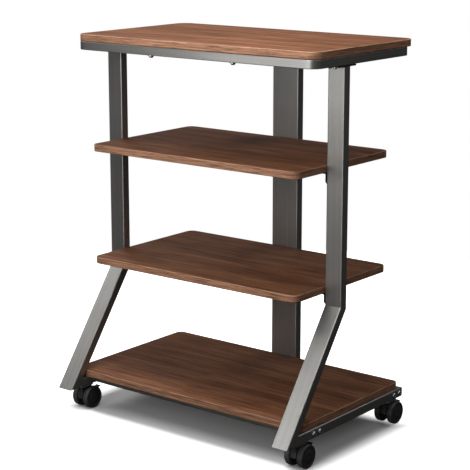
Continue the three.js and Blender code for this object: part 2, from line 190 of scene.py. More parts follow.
turn = np.linspace(0, 2 * math.pi, FLOOR_SIDES, endpoint=False)
rim = np.column_stack([FLOOR_RADIUS * np.cos(turn), FLOOR_RADIUS * np.sin(turn), 0 * turn])
floor_mesh = bpy.data.meshes.new("floor")
floor_mesh.from_pydata(rim.tolist(), [], [tuple(range(FLOOR_SIDES))])
floor_mesh.materials.append(floor_white)
floor = bpy.data.objects.new("floor", floor_mesh)
bpy.context.scene.collection.objects.link(floor)
floor.visible_diffuse = False
floor.visible_glossy = False


# Top board: 15 mm particle board faced with a walnut-look laminate, a band of the same pattern glued
# round its edge in browns painted lighter, the arrises eased, the upper with a painted highlight and
# the lower with painted shade, and all four corners rounded.
SHARP_FROM = math.radians(34)
ARRIS = 0.0012
ARRIS_STEPS = 4
# Finishes of the spans up a board's edge: lower arris (painted shade), band (painted lighter), upper
# arris (painted highlight). The caps are the faces.
BOARD_BANDS = [3] * (ARRIS_STEPS - 1) + [1] * 3 + [2] * (ARRIS_STEPS - 1)


def rounded_outline(low, high, corner, steps):
    """Points anticlockwise round a rectangle: each corner is its centre plus the radius times
    (cos, sin) of an angle that runs through a quarter turn, with a guard point on the flat at
    each end of it, a seventh of the radius away, that keeps the flats flat in the shading."""
    left, right = low[0] + corner, high[0] - corner
    near, far = low[1] + corner, high[1] - corner
    guard = corner / 7
    arcs = []
    for quarter, centre in enumerate(((right, far), (left, far), (left, near), (right, near))):
        angle = np.linspace(0, math.pi / 2, steps) + quarter * math.pi / 2
        tangent = np.column_stack([-np.sin(angle), np.cos(angle)])
        arc = np.array(centre) + corner * np.column_stack([np.cos(angle), np.sin(angle)])
        arcs += [arc[:1] - guard * tangent[:1], arc, arc[-1:] + guard * tangent[-1:]]
    return np.concatenate(arcs)


def drawn_in(low, high, back, corner, steps):
    """The rounded outline with every side moved in by back, and its radius less by as much."""
    near = (low[0] + back, low[1] + back)
    far = (high[0] - back, high[1] - back)
    return rounded_outline(near, far, corner - back, steps)


def level_ring(outline, height):
    """An outline drawn in x and y, laid level at a height."""
    return np.column_stack([outline, np.full(len(outline), height)])


def skin(name, rings, materials, closed=False, lengthwise=False, start=(0, 0), bands=None, cap=None):
    """A mesh of quads between rings of points, given as an array (rings, points, 3). The end
    rings get flat caps unless closed joins them. Where the volume, the sum of the cones from the
    middle to each face, comes out negative, every ring is turned round. The map "run" holds
    metres round the ring and from ring to ring, swapped where lengthwise is true, and the two
    widest axes on the caps. bands gives the material of each span of rings, cap that of the ends."""
    rings = np.asarray(rings, float)
    fan = rings - rings.reshape(-1, 3).mean(0)
    after = np.roll(fan, -1, axis=1)
    above, across = np.roll(fan, -1, axis=0), np.roll(after, -1, axis=0)
    cones = np.einsum("ijk,ijk->ij", fan, np.cross(after, across) + np.cross(across, above))
    cones = cones if closed else cones[:-1]
    ends = 0 if closed else sum(
        sign * (np.cross(ring, np.roll(ring, -1, 0)) @ ring[0]).sum()
        for sign, ring in ((-1, fan[0]), (1, fan[-1]))
    )
    if cones.sum() + ends < 0:
        rings = rings[:, ::-1]
    count, around = rings.shape[:2]
    spans = count if closed else count - 1
    row, column = np.meshgrid(np.arange(spans), np.arange(around), indexing="ij")
    beside, over = (column + 1) % around, (row + 1) % count
    corners = ((row, column), (row, beside), (over, beside), (over, column))
    quads = np.stack([level * around + point for level, point in corners], 2)
    steps = np.linalg.norm(np.roll(rings, -1, 1) - rings, axis=2).mean(0)
    rises = np.linalg.norm(np.roll(rings, -1, 0) - rings, axis=2).mean(1)
    u = np.concatenate([[0], np.cumsum(steps)])
    v = np.concatenate([[0], np.cumsum(rises)])
    marks = ((row, column), (row, column + 1), (row + 1, column + 1), (row + 1, column))
    chart = np.stack([np.stack([u[point], v[level]], 2) for level, point in marks], 2).reshape(-1, 2)
    if lengthwise:
        chart = chart[:, ::-1]
    faces = quads.reshape(-1, 4).tolist()
    chosen = np.repeat(np.zeros(spans, int) if bands is None else np.asarray(bands), around)
    if not closed:
        widest = np.sort(np.argsort(np.ptp(rings.reshape(-1, 3), axis=0))[1:])
        last = (count - 1) * around
        faces += [list(range(around - 1, -1, -1)), list(range(last, last + around))]
        chart = np.concatenate([chart, rings[0][::-1][:, widest], rings[-1][:, widest]])
        chosen = np.concatenate([chosen, [chosen[0], chosen[-1]] if cap is None else [cap, cap]])
    mesh = bpy.data.meshes.new(name)
    mesh.from_pydata(rings.reshape(-1, 3).tolist(), [], faces)
    layer = mesh.uv_layers.new(name="run")
    layer.data.foreach_set("uv", (chart + np.asarray(start)).astype(np.float32).ravel())
    for material in materials if isinstance(materials, tuple) else (materials,):
        mesh.materials.append(material)
    mesh.polygons.foreach_set("material_index", chosen.astype(np.int32))
    mesh.polygons.foreach_set("use_smooth", np.full(len(faces), True))
    mesh.set_sharp_from_angle(angle=SHARP_FROM)
    mesh.update()
    made = bpy.data.objects.new(name, mesh)
    bpy.context.scene.collection.objects.link(made)
    return made


def dressed(piece, body, slot, *replaced):
    """Fixes a piece to its body and hides the solids that it stands for; slot, its finish, is not
    used.
    """
    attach(piece, body)
    if replaced:
        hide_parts(*replaced)


def noise(tree, source, scale, detail=3.0, rough=0.5):
    """Fractal noise over a source that is first multiplied by scale, one factor for each axis."""
    mapping = node(tree, "ShaderNodeMapping")
    mapping.inputs["Scale"].default_value = scale
    tree.links.new(source, mapping.inputs["Vector"])
    made = node(tree, "ShaderNodeTexNoise")
    made.inputs["Scale"].default_value = 1.0
    made.inputs["Detail"].default_value = detail
    made.inputs["Roughness"].default_value = rough
    tree.links.new(mapping.outputs["Vector"], made.inputs["Vector"])
    return made.outputs["Fac"]


def ramp(tree, source, *stops):
    """Turns a value into a colour; each stop is (position, colour), a single number means grey."""
    made = node(tree, "ShaderNodeValToRGB")
    elements = made.color_ramp.elements
    while len(elements) < len(stops):
        elements.new(0.5)
    for element, (position, colour) in zip(elements, stops):
        element.position = position
        element.color = (*colour, 1) if isinstance(colour, tuple) else (colour, colour, colour, 1)
    tree.links.new(source, made.inputs["Fac"])
    return made.outputs["Color"]


def product(tree, first, *others):
    """Multiplies colours with each other."""
    for other in others:
        made = node(tree, "ShaderNodeMix", data_type="RGBA", blend_type="MULTIPLY")
        made.inputs[0].default_value = 1.0
        tree.links.new(first, made.inputs[6])
        tree.links.new(other, made.inputs[7])
        first = made.outputs[2]
    return first


def spread(tree, source, low, high):
    """Maps a value from 0 to 1 onto low to high."""
    made = node(tree, "ShaderNodeMapRange")
    made.inputs["To Min"].default_value = low
    made.inputs["To Max"].default_value = high
    tree.links.new(source, made.inputs["Value"])
    return made.outputs["Result"]


def relief(tree, shader, source, strength, depth):
    """Bumps the surface by a height from 0 to 1 that stands for depth metres."""
    made = node(tree, "ShaderNodeBump")
    made.inputs["Strength"].default_value = strength
    made.inputs["Distance"].default_value = depth
    tree.links.new(source, made.inputs["Height"])
    tree.links.new(made.outputs["Normal"], shader.inputs["Normal"])


def walnut_laminate(name, deep, middle, pale, depth, sheen, fine):
    """Long figure that wanders between three browns, times fine fibres, times dark pore lines,
    times a slow change from stave to stave, all drawn out along the first axis of the map. The
    figure, fibres and pores are fine times closer, and depth is how strongly the lines show."""
    material, tree, shader = new_material(name)
    run = node(tree, "ShaderNodeUVMap", uv_map="run").outputs["UV"]
    figure = noise(tree, run, (1.8 * fine, 26 * fine, 1), 7.0, 0.62)
    stave = noise(tree, run, (0.8, 9, 1), 1.0)
    fibre = noise(tree, run, (3 * fine, 170 * fine, 1), 6.0, 0.8)
    pore = noise(tree, run, (9 * fine, 330 * fine, 1), 3.0, 0.6)
    colour = product(
        tree,
        ramp(tree, figure, (0.3, deep), (0.5, middle), (0.7, pale)),
        ramp(tree, fibre, (0.36, 1 - depth), (0.64, 1 + depth)),
        ramp(tree, pore, (0.38, 1 - 1.5 * depth), (0.5, 1.0)),
        ramp(tree, stave, (0.35, 0.9), (0.65, 1.06)),
    )
    tree.links.new(colour, shader.inputs["Base Color"])
    tree.links.new(spread(tree, fibre, 0.6, 0.42), shader.inputs["Roughness"])
    shader.inputs["Specular IOR Level"].default_value = sheen
    relief(tree, shader, fibre, 0.3, 0.0002)
    return material


WALNUT_FACE = walnut_laminate(
    "walnut_laminate",
    deep=(0.108, 0.041, 0.019),
    middle=(0.193, 0.079, 0.038),
    pale=(0.283, 0.124, 0.063),
    depth=0.42,
    sheen=0.12,
    fine=1.0,
)
# The band's grain is the laminate's own, but its browns are about twice as light: painted light for
# the edges.
WALNUT_BAND_PAINTED_LIGHTER = walnut_laminate(
    "walnut_edge_band_painted_lighter",
    deep=(0.34, 0.165, 0.094),
    middle=(0.425, 0.213, 0.124),
    pale=(0.51, 0.264, 0.157),
    depth=0.42,
    sheen=0.2,
    fine=2.4,
)
# The upper arris in paler browns is a painted highlight along each board's top edge.
WALNUT_ARRIS_PAINTED_HIGHLIGHT = walnut_laminate(
    "walnut_arris_painted_highlight",
    deep=(0.33, 0.175, 0.108),
    middle=(0.43, 0.235, 0.15),
    pale=(0.53, 0.3, 0.2),
    depth=0.4,
    sheen=0.3,
    fine=2.4,
)
# The lower arris in darker browns is painted shade along each board's bottom edge.
WALNUT_ARRIS_PAINTED_SHADE = walnut_laminate(
    "walnut_arris_painted_shade",
    deep=(0.18, 0.082, 0.047),
    middle=(0.25, 0.116, 0.068),
    pale=(0.32, 0.152, 0.09),
    depth=0.4,
    sheen=0.15,
    fine=2.4,
)
WALNUT = (WALNUT_FACE, WALNUT_BAND_PAINTED_LIGHTER, WALNUT_ARRIS_PAINTED_HIGHLIGHT, WALNUT_ARRIS_PAINTED_SHADE)


def eased_slab(name, low, high, corner, ease, materials, corner_steps=14, start=(0, 0), bands=None):
    """A slab as a stack of rounded outlines: up its side they are full size, and round each
    arris they draw in by ease times (1 - sin) while they rise by ease times (1 - cos). A guard
    ring at each end of the side keeps it flat in the shading."""
    turn = np.linspace(0, math.pi / 2, ARRIS_STEPS)
    guard = min(ease / 3, (high[2] - low[2] - 2 * ease) / 3)
    inset = ease * (1 - np.sin(turn))
    rise = ease * (1 - np.cos(turn))
    insets = np.concatenate([inset, [0, 0], inset[::-1]])
    side = [low[2] + ease + guard, high[2] - ease - guard]
    heights = np.concatenate([low[2] + rise, side, high[2] - rise[::-1]])
    rings = [
        level_ring(drawn_in(low, high, back, corner, corner_steps), height)
        for back, height in zip(insets, heights)
    ]
    return skin(name, rings, materials, start=start, bands=bands, cap=0)


def laminated(name, corner, start=(0, 0)):
    """A faced board in place of the solid one, its pattern shifted by start along the map."""
    low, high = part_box(name)
    label = name + "_laminated"
    board = eased_slab(label, low, high, corner, ARRIS, WALNUT, start=start, bands=BOARD_BANDS)
    dressed(board, "rack", "walnut", name)


laminated("top_board", 0.025)


# The steel ring under the top: one hollow 20 x 18 mm bar bent round the four corners and welded
# shut behind, powder-coated dark grey. The top board is screwed down to it from below.
BAR = 0.020
BAR_EDGE = 0.0014
RING_CORNER = 0.025


def powder_coat(name, dark, light, metal, rough, streak):
    """A satin metallic coat: a cloudy tone, times flake, times faint rolling lines that follow
    the first axis of the map and darken it by up to streak, with a little orange peel."""
    material, tree, shader = new_material(name)
    place = node(tree, "ShaderNodeTexCoord").outputs["Object"]
    run = node(tree, "ShaderNodeUVMap", uv_map="run").outputs["UV"]
    cloud = noise(tree, place, (9, 9, 9))
    lines = noise(tree, run, (1.6, 520, 1), 4.0, 0.7)
    flake = noise(tree, place, (2400, 2400, 2400), 1.0)
    colour = product(
        tree,
        ramp(tree, cloud, (0.35, dark), (0.65, light)),
        ramp(tree, lines, (0.36, 1 - streak), (0.64, 1.0)),
        ramp(tree, flake, (0.3, 0.9), (0.7, 1.0)),
    )
    tree.links.new(colour, shader.inputs["Base Color"])
    tree.links.new(spread(tree, lines, rough + 0.04, rough - 0.04), shader.inputs["Roughness"])
    shader.inputs["Metallic"].default_value = metal
    relief(tree, shader, noise(tree, place, (700, 700, 700), 2.0), 0.25, 0.00005)
    return material


STEEL = powder_coat(
    "grey_powder_coat",
    dark=(0.4, 0.392, 0.374),
    light=(0.447, 0.438, 0.418),
    metal=0.85,
    rough=0.36,
    streak=0.24,
)

low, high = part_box("top_ring")
section = rounded_outline((0, low[2]), (BAR, high[2]), BAR_EDGE, 5)
rings = [level_ring(drawn_in(low, high, back, RING_CORNER, 14), height) for back, height in section]
dressed(skin("top_ring_bar", rings, STEEL, closed=True), "rack", "steel", "top_ring")


# Screws that hold the top board: button heads with a hexagon socket, bright zinc, driven up through
# the ring's front and rear bars with a washer under each. A screw's four sizes, here and below, are
# the head's width and height and the shank's width and length.
TOP_SCREW = (0.0105, 0.0055, 0.006, 0.012)
TOP_SCREW_REACH = 0.108
WASHER_PROFILE = ((-0.0001, 0.0066), (0.0002, 0.0072), (0.001, 0.0072), (0.0013, 0.0068))
SCREW_TIP = 0.0008
HEAD_EASE = 0.0002
DOME_TURN = math.radians(62)
DOWN = (0, 0, -1)


def zinc_plate():
    """Bright zinc with cloudy passivation: tone and sheen wander over a few millimetres."""
    material, tree, shader = new_material("bright_zinc")
    place = node(tree, "ShaderNodeTexCoord").outputs["Object"]
    cloud = noise(tree, place, (260, 260, 260), 4.0)
    colour = ramp(tree, cloud, (0.3, (0.66, 0.67, 0.68)), (0.7, (0.9, 0.9, 0.9)))
    tree.links.new(colour, shader.inputs["Base Color"])
    tree.links.new(spread(tree, cloud, 0.3, 0.18), shader.inputs["Roughness"])
    shader.inputs["Metallic"].default_value = 1.0
    relief(tree, shader, noise(tree, place, (1500, 1500, 1500), 2.0), 0.2, 0.00004)
    return material


ZINC = zinc_plate()


def turned(name, profile, foot, way, materials, sides=32, key=(), bands=None):
    """A turned piece: each (along, radius) of the profile is a circle of that radius round the
    axis, along metres from the foot. Rings whose index is in key follow a hexagon instead, the
    radius over the cosine of the angle from the middle of the nearest flat."""
    axis = np.asarray(Vector(way).normalized())
    first = np.asarray(Vector(way).orthogonal().normalized())
    second = np.cross(axis, first)
    angle = np.linspace(0, 2 * math.pi, sides, endpoint=False)
    round_ray = np.cos(angle)[:, None] * first + np.sin(angle)[:, None] * second
    hexagon = 1 / np.cos((angle % (math.pi / 3)) - math.pi / 6)
    rings = []
    for index, (along, radius) in enumerate(profile):
        reach = radius * hexagon if index in key else np.full(sides, radius)
        rings.append(np.asarray(foot) + along * axis + reach[:, None] * round_ray)
    return skin(name, rings, materials, bands=bands)


def socket_screw(name, seat, way, head, height, shank, length):
    """A button-head screw: shank below the seat, a low dome above it whose rise follows the sine
    and whose radius the cosine of a turn, and a hexagon socket, 0.4 of the head's width and half
    its height deep."""
    turn = np.linspace(0, DOME_TURN, 7)
    rise = height * (0.35 + 0.65 * np.sin(turn) / math.sin(DOME_TURN))
    socket = 0.2 * head
    shaft = ((-length, shank * 0.42), (-length + SCREW_TIP, shank / 2), (0, shank / 2))
    rim = ((0, head / 2 - HEAD_EASE), (HEAD_EASE, head / 2))
    dome = np.column_stack([rise, head / 2 * np.cos(turn)])
    well = ((height, socket * 1.08), (height * 0.97, socket), (height * 0.45, socket))
    profile = np.concatenate([shaft, rim, dome, well])
    key = range(len(profile) - len(well), len(profile))
    return turned(name, profile, seat, way, ZINC, sides=36, key=key)


low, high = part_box("top_ring")
for side, x in (("left", -TOP_SCREW_REACH), ("right", TOP_SCREW_REACH)):
    for end, y in (("front", low[1] + BAR / 2), ("rear", high[1] - BAR / 2)):
        seat = (x, y, low[2])
        dressed(socket_screw(f"top_screw_{end}_{side}", seat, DOWN, *TOP_SCREW), "rack", "zinc")
        washer = turned(f"top_washer_{end}_{side}", WASHER_PROFILE, seat, DOWN, ZINC)
        dressed(washer, "rack", "zinc")


# Side frames: 40 x 20 mm flat tube, mitred, welded and ground flush at the knee and at the foot,
# so that upright, leg and rail read as one bent bar, coated like the ring.
TUBE_WALL = 0.0015
TUBE_EDGE = 0.0024
TUBE_DEPTH = 0.020
UPRIGHT_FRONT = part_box("upright_left")[0][1]
UPRIGHT_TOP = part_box("upright_left")[1][2]
KNEE_HEIGHT = 0.310
KNEE = np.array([UPRIGHT_FRONT, KNEE_HEIGHT])
FOOT = np.array([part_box("leg_left")[0][1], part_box("rail_left")[0][2]])
RAIL_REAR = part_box("rail_left")[1][1]


def across_corner(before, at, after):
    """The mitre plane at a corner of the path: its normal is the sum of the two unit directions."""
    into = (at - before) / np.linalg.norm(at - before)
    out = (after - at) / np.linalg.norm(after - at)
    return at, into + out


def mitred_tube(name, centre, width, path, cuts):
    """A tube in the plane of y and z with its outer face on the line of the path. Each point of
    its section runs along the tube until it meets the cutting plane at either end: the distance
    is the plane's offset over the cosine between the plane's normal and the tube."""
    begin, end = path
    along = (end - begin) / np.linalg.norm(end - begin)
    inward = np.array([-along[1], along[0]])
    near, far = (-width / 2, 0), (width / 2, TUBE_DEPTH)
    outer = rounded_outline(near, far, TUBE_EDGE, 6)
    inner = drawn_in(near, far, TUBE_WALL, TUBE_EDGE, 6)
    rings = []
    for section, (point, normal) in zip((outer, outer, inner, inner), cuts + cuts[::-1]):
        base = begin + section[:, 1:2] * inward
        reach = ((point - base) @ normal) / (along @ normal)
        plane = base + reach[:, None] * along
        rings.append(np.column_stack([centre + section[:, 0], plane]))
    return skin(name, rings, STEEL, closed=True, lengthwise=True)


top = np.array([UPRIGHT_FRONT, UPRIGHT_TOP])
rear = np.array([RAIL_REAR, FOOT[1]])
top_cut, rear_cut = (top, np.array([0.0, 1.0])), (rear, np.array([1.0, 0.0]))
knee_cut = across_corner(top, KNEE, FOOT)
foot_cut = across_corner(KNEE, FOOT, rear)
for side in ("left", "right"):
    low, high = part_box(f"upright_{side}")
    middle, width = (low[0] + high[0]) / 2, high[0] - low[0]
    for name, path, cuts in (
        (f"upright_{side}", (top, KNEE), (top_cut, knee_cut)),
        (f"leg_{side}", (KNEE, FOOT), (knee_cut, foot_cut)),
        (f"rail_{side}", (FOOT, rear), (foot_cut, rear_cut)),
    ):
        dressed(mitred_tube(name + "_tube", middle, width, path, cuts), "rack", "steel", name)


# Plastic plugs close the sawn rear ends of the rails: a black flange with eased edges over the
# end of the tube, and a spigot pressed into it.
SPIGOT = 0.006
SPIGOT_SLACK = 0.0003
SPIGOT_EASE = 0.0006
FLANGE_EASE = 0.0007


def moulded_plastic(name, shade, rough, grain):
    """Dark moulded plastic: a slightly uneven grey with the fine matt texture of its mould."""
    material, tree, shader = new_material(name)
    place = node(tree, "ShaderNodeTexCoord").outputs["Object"]
    cloud = noise(tree, place, (60, 60, 60), 3.0)
    texture = noise(tree, place, (1800, 1800, 1800), 2.0)
    colour = ramp(tree, cloud, (0.3, shade * 0.85), (0.7, shade * 1.15))
    tree.links.new(colour, shader.inputs["Base Color"])
    tree.links.new(spread(tree, texture, rough - 0.06, rough + 0.06), shader.inputs["Roughness"])
    shader.inputs["Specular IOR Level"].default_value = 0.4
    relief(tree, shader, texture, grain, 0.00006)
    return material


NYLON = moulded_plastic("black_nylon", shade=0.042, rough=0.5, grain=0.35)

for side in ("left", "right"):
    low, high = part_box(f"rail_plug_{side}")
    inset = TUBE_WALL + SPIGOT_SLACK
    rings = []
    for y, back in (
        (low[1], inset + SPIGOT_EASE),
        (low[1] + SPIGOT_EASE, inset),
        (low[1] + SPIGOT, inset),
        (low[1] + SPIGOT + 0.0001, 0),
        (high[1] - FLANGE_EASE, 0),
        (high[1] - FLANGE_EASE * 0.3, FLANGE_EASE * 0.3),
        (high[1], FLANGE_EASE),
    ):
        near, far = (low[0] + back, low[2] + back), (high[0] - back, high[2] - back)
        outline = rounded_outline(near, far, TUBE_EDGE - back * 0.7, 5)
        rings.append(np.column_stack([outline[:, 0], np.full(len(outline), y), outline[:, 1]]))
    plug = skin(f"rail_plug_{side}_moulding", rings, NYLON)
    dressed(plug, "rack", "nylon", f"rail_plug_{side}")


# Plates welded on the tops of the uprights and of the column, black, each screwed up into the ring
# beside the tube: an upright's by two screws in front and one behind, the column's by two.
PLATE_EASE = 0.0004
PLATE_SCREW = (0.0085, 0.0036, 0.005, 0.01)
FRONT_SCREW_OFFSET = 0.006
FRONT_SCREW_INSET = 0.0075
REAR_SCREW_INSET = 0.009
COLUMN_SCREW_INSET = (0.014, 0.008)
BLACK_STEEL = powder_coat(
    "black_powder_coat",
    dark=(0.018, 0.018, 0.018),
    light=(0.026, 0.026, 0.026),
    metal=0.3,
    rough=0.42,
    streak=0.2,
)

for name in ("upright_plate_left", "upright_plate_right", "column_head"):
    low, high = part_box(name)
    plate = eased_slab(name + "_blank", low, high, TUBE_EDGE, PLATE_EASE, BLACK_STEEL, corner_steps=5)
    dressed(plate, "rack", "black_steel", name)
for side in ("left", "right"):
    low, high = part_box(f"upright_plate_{side}")
    middle = (low[0] + high[0]) / 2
    front = low[1] + FRONT_SCREW_INSET
    places = (
        (middle - FRONT_SCREW_OFFSET, front),
        (middle + FRONT_SCREW_OFFSET, front),
        (middle, high[1] - REAR_SCREW_INSET),
    )
    for number, (x, y) in enumerate(places, 1):
        screw = socket_screw(f"plate_screw_{side}_{number}", (x, y, low[2]), DOWN, *PLATE_SCREW)
        dressed(screw, "rack", "zinc")
low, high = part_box("column_head")
aside, back = COLUMN_SCREW_INSET
for side, x in (("left", low[0] + aside), ("right", high[0] - aside)):
    screw = socket_screw(f"column_screw_{side}", (x, low[1] + back, low[2]), DOWN, *PLATE_SCREW)
    dressed(screw, "rack", "zinc")


# Column at the back: a 70 x 20 mm tube that braces the frame and carries the rear of both
# shelves, coated like the rest of the frame.
low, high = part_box("column")
section = rounded_outline(low, high, TUBE_EDGE, 6)
bore = drawn_in(low, high, TUBE_WALL, TUBE_EDGE, 6)
rings = [
    level_ring(outline, height)
    for outline, height in ((section, low[2]), (section, high[2]), (bore, high[2]), (bore, low[2]))
]
dressed(skin("column_tube", rings, STEEL, closed=True, lengthwise=True), "rack", "steel", "column")


# Foot of the column: a black angle, bent from 3 mm strip, that lies on the rear cross rail under
# the column and is screwed to the rail's back.
FOOT_STRIP = 0.003
FOOT_CLIP = 0.003
FOOT_SCREW = (0.0085, 0.0036, 0.005, 0.012)
FOOT_SCREW_INSET = 0.015
FOOT_SCREW_DROP = 0.001
BEND = 0.001
BEND_STEPS = 6
STRIP_EDGE = 0.0004


def pulled_curve(first, pull, last, steps):
    """The quadratic curve (1-t)^2 first + 2t(1-t) pull + t^2 last."""
    t = np.linspace(0, 1, steps)[:, None]
    return (1 - t) ** 2 * first + 2 * t * (1 - t) * pull + t**2 * last


def bent_strip(name, path, width, thickness, clips):
    """A black strip bent once: it follows the path, whose corner is rounded by a quadratic curve,
    and each ring is its rounded section. clips gives, at either end, how far the corners are cut
    off, along and across alike, and 0 leaves them square."""
    begin, corner, end = [np.asarray(point, float) for point in path]
    into = (corner - begin) / np.linalg.norm(corner - begin)
    out = (end - corner) / np.linalg.norm(end - corner)
    side = np.cross(into, out)
    side /= np.linalg.norm(side)
    reach = BEND + thickness
    curve = pulled_curve(corner - reach * into, corner, corner + reach * out, BEND_STEPS)
    points, cuts = [begin, *curve, end], [clips[0]] + [0] * BEND_STEPS + [clips[1]]
    if clips[0]:
        points.insert(1, begin + clips[0] * into)
        cuts.insert(1, 0)
    if clips[1]:
        points.insert(-1, end - clips[1] * out)
        cuts.insert(-1, 0)
    heading = np.gradient(np.array(points), axis=0)
    heading[0], heading[-1] = into, out
    heading /= np.linalg.norm(heading, axis=1)[:, None]
    rings = []
    for point, up, cut in zip(points, np.cross(side, heading), cuts):
        half = width / 2 - cut
        outline = rounded_outline((-half, 0), (half, thickness), STRIP_EDGE, 3)
        rings.append(point + outline[:, :1] * side + outline[:, 1:] * up)
    return skin(name, rings, BLACK_STEEL)


low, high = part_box("column_foot")
middle = (low[0] + high[0]) / 2
path = ((middle, low[1], high[2]), (middle, high[1], high[2]), (middle, high[1], low[2]))
foot = bent_strip("column_foot_angle", path, high[0] - low[0], FOOT_STRIP, (0, FOOT_CLIP))
dressed(foot, "rack", "black_steel", "column_foot")
for side, x in (("left", low[0] + FOOT_SCREW_INSET), ("right", high[0] - FOOT_SCREW_INSET)):
    seat = (x, high[1], (low[2] + high[2]) / 2 - FOOT_SCREW_DROP)
    dressed(socket_screw(f"foot_screw_{side}", seat, (0, 1, 0), *FOOT_SCREW), "rack", "zinc")


# Cross rails under the bottom board: the same flat tube, closed at both ends, bolted between
# the two bottom rails.
RAIL_END_EASE = 0.0006

for end in ("front", "rear"):
    low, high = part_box(f"cross_rail_{end}")
    rings = []
    for x, back in (
        (low[0], RAIL_END_EASE),
        (low[0] + RAIL_END_EASE, 0),
        (high[0] - RAIL_END_EASE, 0),
        (high[0], RAIL_END_EASE),
    ):
        outline = drawn_in(low[1:], high[1:], back, TUBE_EDGE, 6)
        rings.append(np.column_stack([np.full(len(outline), x), outline]))
    rail = skin(f"cross_rail_{end}_tube", rings, STEEL, lengthwise=True)
    dressed(rail, "rack", "steel", f"cross_rail_{end}")


# The bolts that hold the cross rails: M6 button heads with a hexagon socket, two at each end,
# driven in through the bottom rails.
BOLT_HEAD = 0.0034
RAIL_BOLT = (0.011, BOLT_HEAD, 0.006, 0.054)

for side, sign in (("left", -1), ("right", 1)):
    for number in range(1, 5):
        name = f"rail_bolt_{side}_{number}"
        low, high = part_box(name)
        face = high[0] - BOLT_HEAD if sign > 0 else low[0] + BOLT_HEAD
        seat = (face, (low[1] + high[1]) / 2, (low[2] + high[2]) / 2)
        bolt = socket_screw(name + "_button_head", seat, (sign, 0, 0), *RAIL_BOLT)
        dressed(bolt, "rack", "zinc", name)


# Two shelves between the uprights, 15 mm board faced like the top, on black angle brackets:
# one on the inner face of each upright and a wide one on the column, all screwed.
BRACKET = 0.0025
BRACKET_CLIPS = (0.004, 0.007)
WALL_SCREW = (0.0085, 0.003, 0.005, 0.008)
WALL_SCREW_RISE = 0.009
SHELF_SCREW = (0.0075, 0.0024, 0.004, 0.010)
SHELF_SCREW_INSET = 0.010
REAR_SCREW_OFFSET = 0.018

laminated("shelf_upper", 0.017, start=(3.1, 1.3))
laminated("shelf_lower", 0.017, start=(6.2, 2.6))

for level in ("upper", "lower"):
    for side, outward, offsets in (
        ("left", (1, 0, 0), (0,)),
        ("right", (-1, 0, 0), (0,)),
        ("rear", (0, -1, 0), (-REAR_SCREW_OFFSET, REAR_SCREW_OFFSET)),
    ):
        name = f"bracket_{level}_{side}"
        low, high = np.array(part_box(name))
        outward = np.array(outward)
        along = np.abs(np.cross(outward, DOWN))
        arm = outward * (high - low)
        corner = (low + high - arm) / 2
        corner[2] = high[2]
        tip = corner + arm
        wall_end = np.array([corner[0], corner[1], low[2]])
        width = along @ (high - low)
        bracket = bent_strip(name + "_angle", (tip, corner, wall_end), width, BRACKET, BRACKET_CLIPS)
        dressed(bracket, "rack", "black_steel", name)
        wall_seat = wall_end + outward * BRACKET + (0, 0, WALL_SCREW_RISE)
        shelf_seat = tip - outward * SHELF_SCREW_INSET - (0, 0, BRACKET)
        for number, offset in enumerate(offsets, 1):
            for where, seat, way, size in (
                ("wall", wall_seat, outward, WALL_SCREW),
                ("shelf", shelf_seat, DOWN, SHELF_SCREW),
            ):
                label = f"{name}_{where}_screw_{number}"
                dressed(socket_screw(label, seat + along * offset, way, *size), "rack", "zinc")


# Bottom board, the widest one: it lies on the rails and cross rails, with its front edge well
# forward between the slanting legs.
laminated("bottom_board", 0.014, start=(11.7, 4.9))


# Casters: a zinc plate with its ball race and kingpin under the rail, a black hood that swivels
# on it, two wheels on one axle beside the hood, and a brake lever behind. A profile's pairs are
# metres along the axis and the radius there.
CASTER_SIDE = 0.295
CASTER_FRONT = -0.16575
CASTER_REAR = 0.16625
CASTER_PLATE = 0.0025
CASTER_PLATE_CORNER = 0.005
CASTER_SCREW = (0.0068, 0.0019, 0.004, 0.006)
CASTER_SCREW_REACH = 0.014
RACE_PROFILE = (
    (0, 0.0112), (0.0006, 0.0112), (0.0012, 0.0108), (0.0019, 0.0097), (0.0022, 0.009),
    (0.0022, 0.0041), (0.027, 0.0039),
)
AXLE_HEIGHT = 0.025
AXLE_PROFILE = ((-0.0185, 0.0027), (-0.0182, 0.003), (0.0182, 0.003), (0.0185, 0.0027))
TRAIL = 0.016
HOOD_RADIUS = 0.024
HOOD_HALF = 0.007
HOOD_EASE = 0.0012
HOOD_LOW = math.radians(183)
HOOD_HIGH = math.radians(48)
HUB_RADIUS = 0.0085
HUB_END = 2 * math.pi + 0.15
HUB_PROFILE = ((-0.0075, 0.0079), (-0.0071, HUB_RADIUS), (0.0071, HUB_RADIUS), (0.0075, 0.0079))
BOSS_FOOT = 0.0248
BOSS_PROFILE = (
    (0, 0.0062), (0.0005, 0.0068), (0.0249, 0.0068), (0.0255, 0.0086), (0.0261, 0.009),
    (0.0274, 0.009), (0.0277, 0.0086),
)
WHEEL_INNER = 0.0078
WHEEL_PROFILE = (
    (0.0, 0.0185), (0.0004, 0.0215), (0.001, 0.0232), (0.0021, 0.0244), (0.0034, 0.0249),
    (0.0044, 0.025), (0.0054, 0.02465), (0.0061, 0.02465), (0.0069, 0.025), (0.0086, 0.025),
    (0.0108, 0.025), (0.0122, 0.0249), (0.0134, 0.0245), (0.0143, 0.0238), (0.0149, 0.0227),
    (0.015, 0.0221), (0.015, 0.0196), (0.0148, 0.0192), (0.0143, 0.0188), (0.0143, 0.0132),
    (0.01455, 0.0128), (0.01455, 0.0058), (0.0142, 0.0054), (0.0142, 0.0052),
)
# Of a wheel's spans, the nine after the third are its tread, and the others are the moulding.
WHEEL_BANDS = [0] * 3 + [1] * 9 + [0] * 11
SLIMMEST_SHARE = 0.45
LEVER_PIVOT = (0.013, 0.0145)
LEVER_BARREL = 0.004
LEVER_LENGTH = 0.024
LEVER_DIP = 0.004
LEVER_THICK = 0.0026
LEVER_HALF = 0.0062
LEVER_EASE = 0.0006
TREAD = moulded_plastic("grey_tread", shade=0.07, rough=0.62, grain=0.5)


